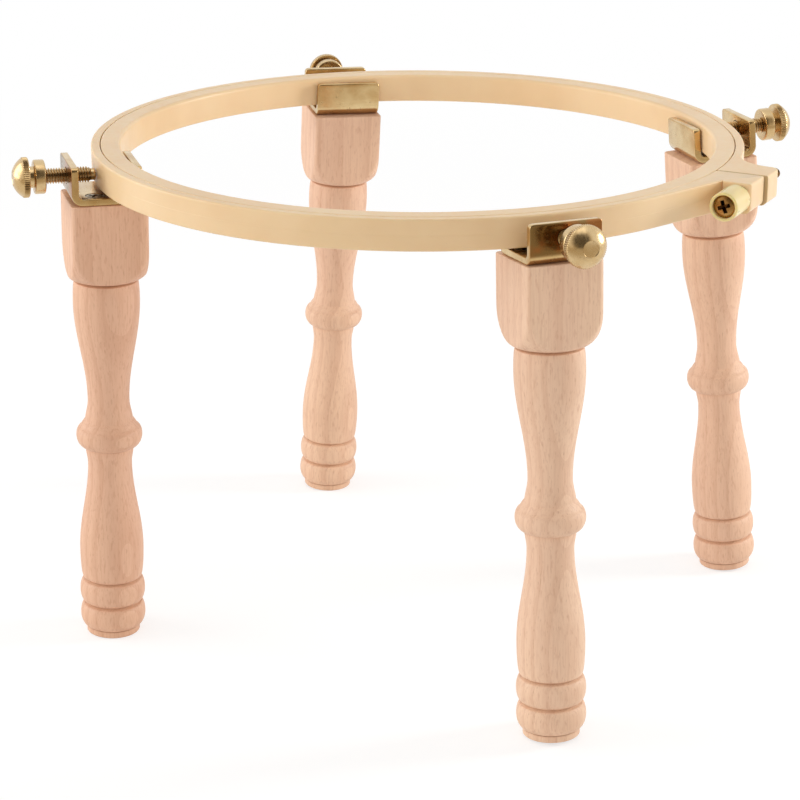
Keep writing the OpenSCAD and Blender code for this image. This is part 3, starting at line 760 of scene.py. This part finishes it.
def leg_turns():
    """Angles of the columns round a leg, closer together at the block's corners."""
    flat = np.linspace(-37, 37, 21)[:-1]
    corner = np.linspace(37, 53, 12)[:-1]
    side = np.concatenate([flat, corner])
    return np.radians(np.concatenate([side + 90 * k for k in range(4)]))


def leg_shape(seed):
    """Square block above, turning below; cuts in the turning are marked, to be darkened by burn
    marks and painted shade.
    """
    turn = leg_turns()[None, :]
    line = np.array(leg_profile())
    radius, depth = line[:, :1], line[:, 1:]
    side, soft = square_radius(turn), 0.3  # soft: how far block and turning blend
    rows = -soft * np.logaddexp(-radius / soft, -side / soft)
    wobble = WOBBLE * np.sin(3 * turn + seed) * smooth((depth - 30) / 20)
    rows = rows + wobble
    top_round = 0.45
    turns = np.radians(np.linspace(0, 90, 5))
    top = np.array([(1 - math.sin(t), 1 - math.cos(t)) for t in turns]) * top_round
    top_rows = [side * share for share in (0, 0.3, 0.62, 0.86)]
    top_rows += [side - top_round - 0.3] + [side - inset for inset, _ in top]
    top_depth = [0.0] * 5 + [drop for _, drop in top]
    keep = depth[:, 0] > top_round
    # The foot's underside has the lathe's centre mark
    bottom_rows = [np.full_like(side, FOOT_R - FOOT_EDGE - 0.3)]
    bottom_rows += [np.full_like(side, r) for r in (6.0, 2.2, 1.4, 0.0)]
    bottom_depth = [LEG_LEN] * 3 + [LEG_LEN - 0.5, LEG_LEN - 0.9]
    radii = np.concatenate(top_rows + [rows[keep]] + bottom_rows)
    depths = np.concatenate([top_depth, depth[keep, 0], bottom_depth])[:, None]
    grid = np.stack([radii * np.cos(turn), radii * np.sin(turn), -depths + 0 * turn], 2)[::-1]
    # Marks for burn marks with painted shade in the cuts, at the bead's end and at the foot's edge
    cut_burn_and_shade = sum(np.exp(-((depths - at) / 0.6) ** 2) for at in CUTS)
    cut_burn_and_shade = cut_burn_and_shade + 0.35 * np.exp(-((depths - BEAD_END) / 0.8) ** 2)
    cut_burn_and_shade = cut_burn_and_shade + 0.7 * np.exp(-((depths - FOOT_AT) / 0.7) ** 2)
    shape = Shape()
    shape.add(grid, mark=(cut_burn_and_shade + 0 * turn)[::-1])
    return shape


# ------------------------------------------------------------- leg's fittings
def bracket_rows():
    """Sheet metal swept along the channel's section, its cut edges eased."""
    t, e = SHEET_T / 2, 0.35
    low, x0, x1 = t, TAB_X - t, TAB_X + CHANNEL_W + t
    bend = BEND_R + t
    path = [(x0, INNER_TAB_H)] + arc(x0 + bend, low + bend, bend, 180, 270, 10)
    path += arc(x1 - bend, low + bend, bend, 270, 360, 10)
    path += [(x1, OUTER_TAB_H)]
    path = np.array(path)
    leg = np.linalg.norm(np.diff(path, axis=0), axis=1)
    at = np.concatenate([[0], np.cumsum(leg)])
    # Rows along the path, closer together at its two ends
    end = np.array([0, 0.06, 0.16, 0.35, 0.6, 0.9, 1.3, 1.7, 2.4, 4, 6])
    inner = np.concatenate([end, at[1:-1], at[-1] - end[::-1]])
    inner = np.unique(np.round(inner, 4))
    x, z = np.interp(inner, at, path[:, 0]), np.interp(inner, at, path[:, 1])
    dx = np.interp(inner, (at[1:] + at[:-1]) / 2, np.diff(path[:, 0]) / leg)
    dz = np.interp(inner, (at[1:] + at[:-1]) / 2, np.diff(path[:, 1]) / leg)
    size = np.hypot(dx, dz)
    dx, dz = dx / size, dz / size
    gap = np.minimum(inner, at[-1] - inner)
    narrow, thin = fall_back(gap, TAB_CORNER_R), fall_back(gap, e)
    rows = []
    for k in range(len(inner)):
        half, thick = BRACKET_W / 2 - narrow[k] - thin[k] * 0.5, t - thin[k]
        upper, loop = max(thick - e, 0), []
        for cy, cn, a in ((half - e, upper, 0), (e - half, upper, 90),
                          (e - half, e - thick, 180), (half - e, e - thick, 270)):
            loop += arc(cy, cn, e, a, a + 90, 4)
        y, n = np.array(loop).T
        n = np.clip(n, -thick, thick)
        rows.append(np.column_stack([x[k] - dz[k] * n, y, z[k] + dx[k] * n]))
    return np.array(rows)


def wood_places():
    """Places of a bracket's two wood screws, their heads flush with its floor."""
    return [Matrix.Translation(Vector((MID_X + side * WOOD_IN, side * WOOD_SIDE, SHEET_T))) @
            Matrix.Rotation(math.radians(25 + 40 * side), 4, "Z") for side in (-1, 1)]


def bracket_mesh():
    """The swept sheet with its screw holes cut."""
    sheet = Shape()
    sheet.add_capped(bracket_rows())
    mesh = make_mesh("bracket", sheet)
    cut = Shape()
    across = Matrix.Rotation(math.pi / 2, 4, "Y")
    across.translation = Vector((TAB_X + CHANNEL_W, 0, THUMB_RISE))
    r, ease_h = THUMB_D / 2, 0.35
    tapped = [(0, -1), (r + 1.3, -1), (r, ease_h), (r, SHEET_T - ease_h), (r + 1.3, SHEET_T + 1),
              (0, SHEET_T + 1)]
    cut.add(lathe(tapped, 48), place=across)
    head, shank = WOOD_HEAD_D / 2 + 0.1, WOOD_SHANK_D / 2 + 0.1
    sunk = [(0, -3), (shank, -3), (shank, -1.75), (head, 0.05), (head, 1), (0, 1)]
    for place in wood_places():
        cut.add(lathe(sunk, 48), place=place)
    return carve(mesh, make_mesh("cut", cut))


def wood_screws_mesh():
    """Two countersunk screws, heads up, with cross recesses."""
    screws, crosses = Shape(), Shape()
    r, shank = WOOD_HEAD_D / 2, WOOD_SHANK_D / 2
    for place in wood_places():
        profile = [(0, -WOOD_LEN), (shank, -WOOD_LEN + 5), (shank, -1.75), (r - 0.05, -0.19)]
        profile += head_dome(2 * r - 0.1, 0.25, 0)
        screws.add(lathe(profile, 64), place=place)
        tool = cross_tool(reach=2.1, arm=0.55, depth=1.6, top=0, place=place)
        points, faces, _ = tool.arrays()
        crosses.put(points, [[v + crosses.count for v in face] for face in faces])
    return carve(make_mesh("wood_screws", screws), make_mesh("crosses", crosses))


def thumb_screw_shape():
    """Local +Z is outward, from the thread's nose end to the dome."""
    shape = Shape()
    thread = helix(THUMB_D, THUMB_PITCH, THUMB_THREAD)
    # Marks paint shade into the thread's roots
    shape.add(thread, wrap=False, mark=0.6 * root_mark(thread, THUMB_D, THUMB_PITCH))
    core = THUMB_D / 2 - THREAD_DEPTH * THUMB_PITCH - CORE_GAP
    c0, c1 = THUMB_THREAD, THUMB_THREAD + COLLAR_H
    n1 = c1 + THUMB_NECK_H
    r1 = n1 + RIM_H
    collar, neck, rim = COLLAR_D / 2, THUMB_NECK_D / 2, RIM_D / 2
    edge, teeth, groove, sag = 0.6, 64, 0.26, 0.2
    dome_r = ((rim - edge / 2) ** 2 + DOME_H ** 2) / (2 * DOME_H)
    sweep = math.asin((rim - edge / 2) / dome_r)
    flat_r = DOME_FLAT_D / 2
    flat_at = math.asin(flat_r / dome_r)
    flat_z = r1 + DOME_H - dome_r * (1 - math.cos(flat_at))
    profile = [(0, 0), (core, 0), (core, c0), (collar - edge - 0.3, c0)]
    profile += arc(collar - edge, c0 + edge, edge, -90, 0, 5)
    profile += arc(collar - edge, c1 - edge, edge, 0, 90, 5)
    profile += [(collar - edge - 0.4, c1), (neck + 0.3, c1)]
    profile += arc(neck + 0.3, c1 + 0.3, 0.3, 270, 180, 4) + [(neck, n1 + 0.2), (0, n1 + 0.2)]
    shape.add(lathe(resample(profile, 1.2), 96))
    profile = [(0, n1), (neck + 0.3, n1), (rim - edge - 0.6, n1), (rim - edge / 2, n1)]
    profile += [(rim, n1 + edge / 2 + k * (RIM_H - edge) / 4) for k in range(5)]
    profile += [(dome_r * math.sin(t), r1 + DOME_H - dome_r * (1 - math.cos(t)))
                for t in np.linspace(sweep, flat_at, 26)]
    profile += [(flat_r * k, flat_z - sag * k * k) for k in np.linspace(0.94, 0, 9)]

    def knurl(radius, height, turn):
        tooth = np.abs((turn * teeth / math.pi) % 2 - 1)
        depth = groove * smooth((radius - rim + 0.7) / 0.4)
        depth = depth * smooth((height - n1 + 0.05) / 0.4) * smooth((r1 + 0.05 - height) / 0.4)
        return radius - depth * np.clip(1.35 * tooth - 0.2, 0, 1)

    plain, cut = (lathe(resample(profile, 1.2), teeth * 6, press) for press in (None, knurl))
    depth = np.hypot(plain[..., 0], plain[..., 1]) - np.hypot(cut[..., 0], cut[..., 1])
    # Marks paint shade into the knurl's grooves and round the edge of the dome's flat
    ring = np.exp(-((np.hypot(cut[..., 0], cut[..., 1]) - flat_r) / 0.15) ** 2)
    ring = ring * (cut[..., 2] > r1 + 1)
    shape.add(cut, mark=0.55 * depth / groove + 0.45 * ring)
    return shape


def nose_shape():
    """Local +Z runs from the face that meets the hoop into the thumb screw."""
    r, edge = NOSE_D / 2, 0.5
    profile = [(0, 0)] + arc(r - edge, edge, edge, -90, 0, 5)
    profile += [(r, NOSE_H - 0.25), (r - 0.2, NOSE_H - 0.05)]
    profile += [(STEM_D / 2, NOSE_H - 0.05), (STEM_D / 2, NOSE_H + STEM_H), (0, NOSE_H + STEM_H)]
    shape = Shape()
    shape.add(lathe(resample(profile, 0.8), 48))
    return shape


# --------------------------------------------------------------------- build up
def leg_place(name):
    """Matrix of a leg: origin at its top centre, +X away from the hoop, +Z up the leg."""
    up = -Vector(MOUNTS["foot_" + name]["axis"])
    out = Vector(JOINTS["thumb_%s_turn" % name]["axis"])
    foot = Vector(MOUNTS["foot_" + name]["pos_m"]) / MM
    return basis(out, up.cross(out), up, foot + up * LEG_LEN)


def build_hoop():
    outer = make_mesh("outer_ring", outer_ring_shape(), 40)
    mesh_piece("outer_ring_moulding", outer, HOOP_PLASTIC, "hoop", ["outer_ring"])
    inner = make_mesh("inner_ring", inner_ring_shape(), 40)
    mesh_piece("inner_ring_moulding", inner, HOOP_PLASTIC, "inner_hoop",
               ["inner_ring"])
    along = Matrix.Rotation(-math.pi / 2, 4, "X")  # local +Z to +Y
    screw = along.copy()
    screw.translation = HEAD_SEAT
    mesh_piece("tension_screw_turned", tension_screw_mesh(), TENSION_BRASS,
               "tension", ["tension_screw"], screw)
    sleeve = along.copy()
    sleeve.translation = HEAD_SEAT - Vector((0, HEAD_RECESS + HEAD_H, 0))
    mesh_piece("sleeve_moulding", make_mesh("sleeve", sleeve_shape()), SLEEVE_PLASTIC,
               "sleeve", ["tension_sleeve"], sleeve)
    nut = along.copy()
    nut.translation = Vector((HEAD_SEAT.x, SPLIT_W / 2 + FAR_EAR_T - NUT_SINK, HEAD_SEAT.z))
    mesh_piece("hex_nut", make_mesh("nut", nut_shape(), 20), STEEL,
               "hoop", ["tension_nut"], nut)


def build_leg(name, number, meshes):
    place = leg_place(name)
    spin = np.array(Matrix.Rotation(0.9 + 1.7 * number, 3, "Z"))
    shift = np.array([37 * number + 11, 23 * number - 8, 190 * number])
    turned = make_mesh("leg_" + name, leg_shape(1.3 * number), 40, (spin, shift))
    for vertex in turned.vertices:  # a leaning foot's round edge stays out of the table
        below = (place.to_3x3() @ vertex.co).z + place.translation.z * MM
        if below < 0:
            vertex.co.z -= below / place.col[2].z
    tone = turned.attributes.new("tone", "FLOAT", "POINT")
    tone.data.foreach_set("value", np.full(len(turned.vertices), TONES[name], np.float32))
    mesh_piece("leg_%s_turning" % name, turned, BEECH, "leg_" + name,
               ["leg_" + name], place)
    mesh_piece("bracket_%s_sheet" % name, meshes["bracket"], BRACKET_BRASS, "leg_" + name,
               ["bracket_" + name], place)
    mesh_piece("wood_screws_%s_pair" % name, meshes["wood"], STEEL, "leg_" + name,
               ["wood_screws_" + name], place)
    outward = basis(place.col[1].to_3d(), place.col[2].to_3d(), place.col[0].to_3d(),
                    Vector(JOINTS["thumb_%s_turn" % name]["pos_m"]) / MM)
    mesh_piece("thumb_screw_%s_turned" % name, meshes["thumb"], THUMB_BRASS, "thumb_" + name,
               ["thumb_screw_" + name], outward)
    tip = outward.copy()
    tip.translation -= place.col[0].to_3d() * NOSE_H
    mesh_piece("thumb_nose_%s_turned" % name, meshes["nose"], THUMB_BRASS, "nose_" + name,
               ["thumb_nose_" + name], tip)


build_hoop()
SHARED = {"bracket": bracket_mesh(), "wood": wood_screws_mesh(),
          "thumb": make_mesh("thumb_screw", thumb_screw_shape()),
          "nose": make_mesh("thumb_nose", nose_shape())}
for number, leg in enumerate(LEGS):
    build_leg(leg, number, SHARED)


# ----------------------------------------------------------------------- stage
def build_floor():
    """Pale floor that renders white and keeps the object's soft shadow."""
    mesh = bpy.data.meshes.new("floor")
    half = 12
    corners = [(-half, -half, 0), (half, -half, 0), (half, half, 0), (-half, half, 0)]
    mesh.from_pydata(corners, [], [(0, 1, 2, 3)])
    floor = bpy.data.objects.new("floor", mesh)
    bpy.context.scene.collection.objects.link(floor)
    material = bpy.data.materials.new("floor_paper")
    material.use_nodes = True
    tree = material.node_tree
    tree.nodes.clear()
    place = add(tree, "TexCoord").outputs["Object"]
    away = add(tree, "VectorMath", {0: place}, operation="LENGTH").outputs["Value"]
    near = between(tree, away, 0.25, 1.0, 1, 0)
    path = add(tree, "LightPath")
    seen = math_node(tree, "MAXIMUM", path.outputs["Is Camera Ray"], mirror_ray(tree, path))
    paper = add(tree, "BsdfDiffuse", {"Color": (0.86, 0.86, 0.86, 1)}).outputs[0]
    shadow = add(tree, "BsdfDiffuse", {"Color": (0.42, 0.42, 0.42, 1)}).outputs[0]
    glow = add(tree, "Emission", {"Color": (1, 1, 1, 1), "Strength": 0.66}).outputs[0]
    white = add(tree, "Emission", {"Color": (1, 1, 1, 1), "Strength": 1.0}).outputs[0]
    under = add(tree, "AddShader", {0: shadow, 1: glow}).outputs[0]
    shown = add(tree, "MixShader", {0: near, 1: white, 2: under}).outputs[0]
    # Metal mirrors the floor in front of the object as a warm dark patch, a painted reflection; the
    # camera sees it white
    front = between(tree, along(tree, place, (0.44, -0.9, 0)), 0.2, 0.5)
    dim = math_node(tree, "MULTIPLY", front, path.outputs["Is Glossy Ray"])
    dark = add(tree, "Emission", {"Color": (0.62, 0.53, 0.4, 1), "Strength": 1.0}).outputs[0]
    shown = add(tree, "MixShader", {0: dim, 1: shown, 2: dark}).outputs[0]
    both = add(tree, "MixShader", {0: seen, 1: paper, 2: shown}).outputs[0]
    output = add(tree, "OutputMaterial")
    tree.links.new(both, output.inputs["Surface"])
    mesh.materials.append(material)


def build_world():
    """White studio, dimmer overhead and to the right, white where seen directly.

    Metal mirrors a warm dark patch of it, high up in front of the object.
    """
    world = bpy.data.worlds.new("studio")
    bpy.context.scene.world = world
    world.use_nodes = True
    tree = world.node_tree
    tree.nodes.clear()
    direction = add(tree, "TexCoord").outputs["Generated"]
    toward = along(tree, direction, (0.44, -0.87, 0.2))
    height = add(tree, "SeparateXYZ", {0: direction}).outputs["Z"]
    walls = between(tree, toward, -0.1, 0.85, 1.0, 0.96)
    tint = mix(tree, between(tree, toward, -0.1, 0.85), (1, 1, 1, 1), (1, 0.95, 0.89, 1))
    lid = between(tree, height, 0.15, 0.9, 1.24, 0.43)
    right = between(tree, along(tree, direction, (0.82, 0.57, 0.1)), 0.2, 0.9, 1.0, 0.5)
    walls = math_node(tree, "MULTIPLY", walls, right)
    path = add(tree, "LightPath")
    glossy = mirror_ray(tree, path)
    above = along(tree, direction, (0.38, -0.76, 0.53))
    mirrored = between(tree, above, 0.62, 0.88, 1.0, 0.12)
    strength = mix_value(tree, glossy, math_node(tree, "MULTIPLY", walls, lid), mirrored)
    seen = math_node(tree, "MAXIMUM", strength, path.outputs["Is Camera Ray"])
    warm = mix(tree, between(tree, above, 0.5, 0.85), (1, 1, 1, 1), (1, 0.84, 0.62, 1))
    shade = mix(tree, path.outputs["Is Camera Ray"], mix(tree, glossy, tint, warm), (1, 1, 1, 1))
    background = add(tree, "Background", {"Color": shade, "Strength": seen})
    output = add(tree, "OutputWorld")
    tree.links.new(background.outputs[0], output.inputs["Surface"])


def softbox(name, azimuth, elevation, distance, width, height, watts):
    """Soft area lamp that looks at the hoop's middle."""
    lamp = bpy.data.lights.new(name, "AREA")
    lamp.shape, lamp.size, lamp.size_y, lamp.energy = "RECTANGLE", width, height, watts
    holder = bpy.data.objects.new(name, lamp)
    a, e = math.radians(azimuth), math.radians(elevation)
    aim = Vector((0, 0, 0.12))
    way = Vector((math.cos(a) * math.cos(e), math.sin(a) * math.cos(e), math.sin(e)))
    holder.location = aim + way * distance
    holder.rotation_euler = way.to_track_quat("Z", "Y").to_euler()
    holder.visible_camera = False
    bpy.context.scene.collection.objects.link(holder)


def build_camera():
    """Camera at the photograph's place, as fitted to the hoop and the legs."""
    camera = bpy.data.cameras.new("camera")
    camera.sensor_width, camera.lens = 36, 110.67
    camera.clip_start, camera.clip_end = 0.05, 60
    holder = bpy.data.objects.new("camera", camera)
    holder.location = (0.41294, -0.83187, 0.40835)
    holder.rotation_euler = [math.radians(v) for v in (70.808, -0.094, 26.835)]
    bpy.context.scene.collection.objects.link(holder)
    bpy.context.scene.camera = holder


build_floor()
build_world()
softbox("key_right", azimuth=35, elevation=16, distance=0.9, width=0.22, height=0.25, watts=3.8)
softbox("fill_left", azimuth=205, elevation=18, distance=1.2, width=0.8, height=0.8, watts=5.2)
softbox("top", azimuth=-60, elevation=78, distance=1.6, width=1.0, height=1.0, watts=2)
build_camera()
bpy.context.scene.view_settings.view_transform = "Standard"
